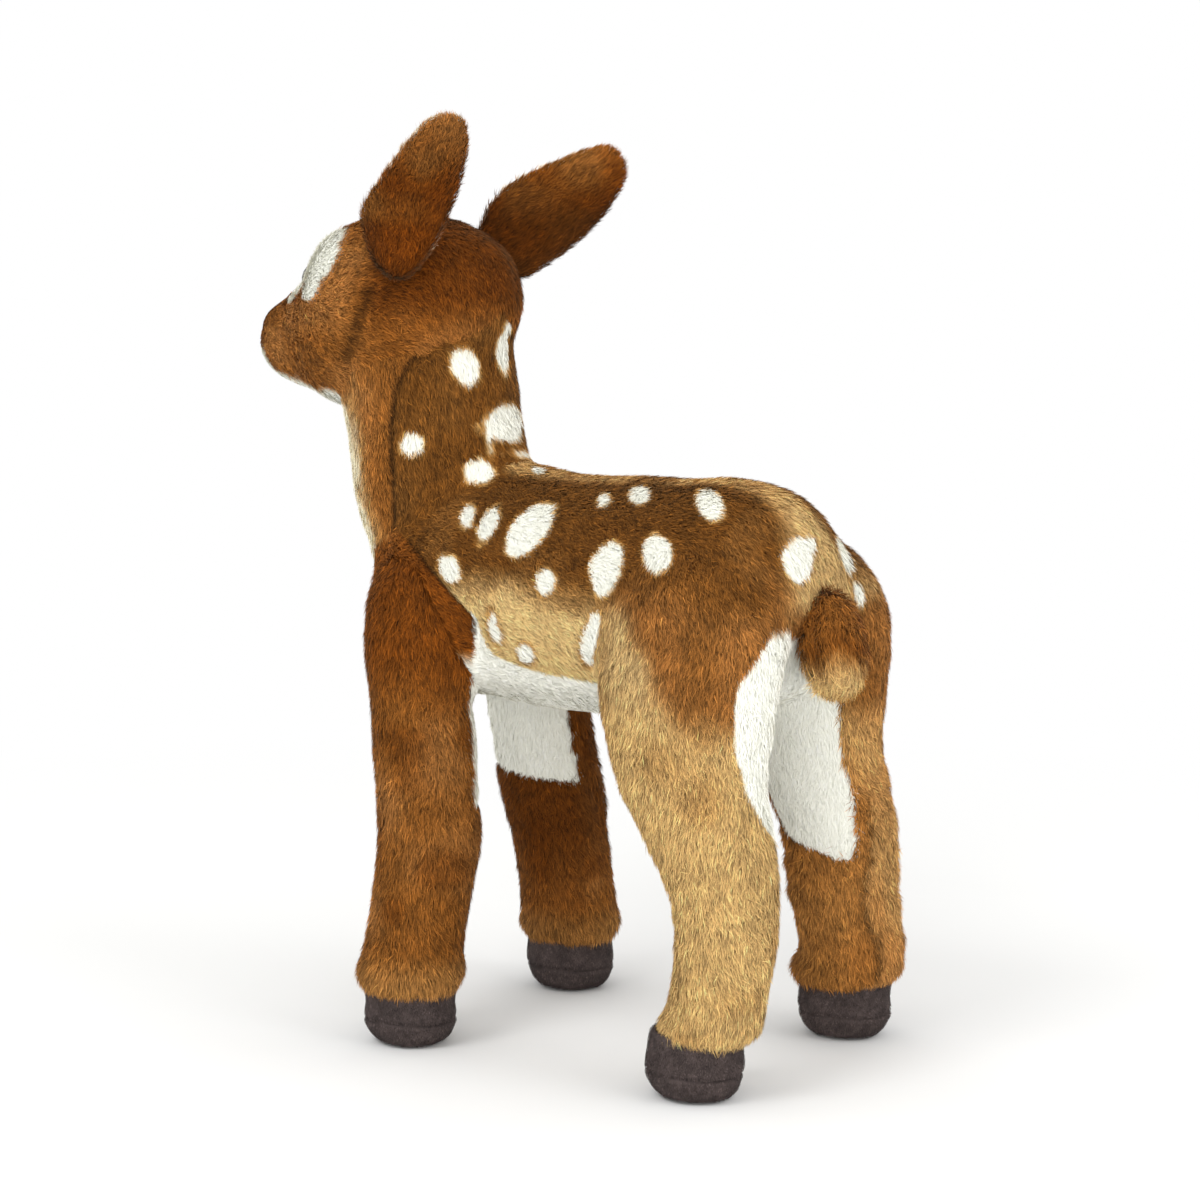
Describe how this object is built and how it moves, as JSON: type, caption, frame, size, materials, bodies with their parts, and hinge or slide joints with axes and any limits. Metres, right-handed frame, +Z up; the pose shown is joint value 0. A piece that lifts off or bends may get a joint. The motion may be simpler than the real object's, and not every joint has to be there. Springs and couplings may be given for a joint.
{
  "type": "standing plush fawn",
  "caption": "Stuffed fawn standing on straight splayed legs, with sewn pile fabric panels, soft hooves, sewn ears that fold and a short tail that lifts.",
  "frame": {"origin": "on the floor, under the middle of the toy's outline", "axes": "+Z up, the toy faces -Y, its left side is +X"},
  "size_m": [0.1569, 0.3116, 0.3926],
  "materials": {
    "spotted_pile": "short dense pile, brown with cream spots",
    "russet_pile": "short dense pile, reddish brown",
    "golden_pile": "short dense pile, golden tan",
    "white_pile": "short dense pile, warm white",
    "hoof_suede": "suede-like short nap, dark grey",
    "fibre_filling": "loose polyester fibre",
    "eye_plastic": "polished",
    "nose_plastic": "satin",
    "washer_plastic": "plain moulded"
  },
  "bodies": {
    "toy": {"left_back_panel": "spotted_pile", "right_back_panel": "spotted_pile", "left_nape_panel": "spotted_pile", "right_nape_panel": "spotted_pile", "throat_panel": "russet_pile", "left_cheek_panel": "russet_pile", "right_cheek_panel": "russet_pile", "head_gusset": "russet_pile", "belly_panel": "white_pile", "chin_panel": "white_pile", "torso_filling": "fibre_filling", "neck_filling": "fibre_filling", "head_filling": "fibre_filling", "front_left_leg_outer_panel": "russet_pile", "front_left_leg_inner_panel": "white_pile", "front_left_hoof_cover": "hoof_suede", "front_left_hoof_sole": "hoof_suede", "front_left_leg_filling": "fibre_filling", "front_right_leg_outer_panel": "russet_pile", "front_right_leg_inner_panel": "white_pile", "front_right_hoof_cover": "hoof_suede", "front_right_hoof_sole": "hoof_suede", "front_right_leg_filling": "fibre_filling", "hind_left_leg_outer_panel": "golden_pile", "hind_left_leg_inner_panel": "white_pile", "hind_left_hoof_cover": "hoof_suede", "hind_left_hoof_sole": "hoof_suede", "hind_left_leg_filling": "fibre_filling", "hind_right_leg_outer_panel": "golden_pile", "hind_right_leg_inner_panel": "white_pile", "hind_right_hoof_cover": "hoof_suede", "hind_right_hoof_sole": "hoof_suede", "hind_right_leg_filling": "fibre_filling", "left_eye": "eye_plastic", "right_eye": "eye_plastic", "nose": "nose_plastic", "left_eye_washer": "washer_plastic", "right_eye_washer": "washer_plastic", "nose_washer": "washer_plastic"},
    "left_ear": {"left_ear_back": "russet_pile", "left_ear_lining": "white_pile"},
    "right_ear": {"right_ear_back": "russet_pile", "right_ear_lining": "white_pile"},
    "tail": {"tail_top": "russet_pile", "tail_underside": "white_pile"}
  },
  "joints": [
    {"name": "left_ear_fold", "type": "hinge", "parent": "toy", "child": "left_ear", "pos_m": [0.03537, -0.0568, 0.33024], "axis": [-0.2261, -0.7921, 0.5671], "range_deg": [-15, 15], "stiffness_Nm_per_rad": 0.05},
    {"name": "right_ear_fold", "type": "hinge", "parent": "toy", "child": "right_ear", "pos_m": [-0.03523, -0.05683, 0.33015], "axis": [-0.4136, 0.5003, -0.7606], "range_deg": [-15, 15], "stiffness_Nm_per_rad": 0.05},
    {"name": "tail_lift", "type": "hinge", "parent": "toy", "child": "tail", "pos_m": [0, 0.13812, 0.19598], "axis": [0.9475, -0.1011, 0.3032], "range_deg": [0, 60], "stiffness_Nm_per_rad": 0.04}
  ]
}
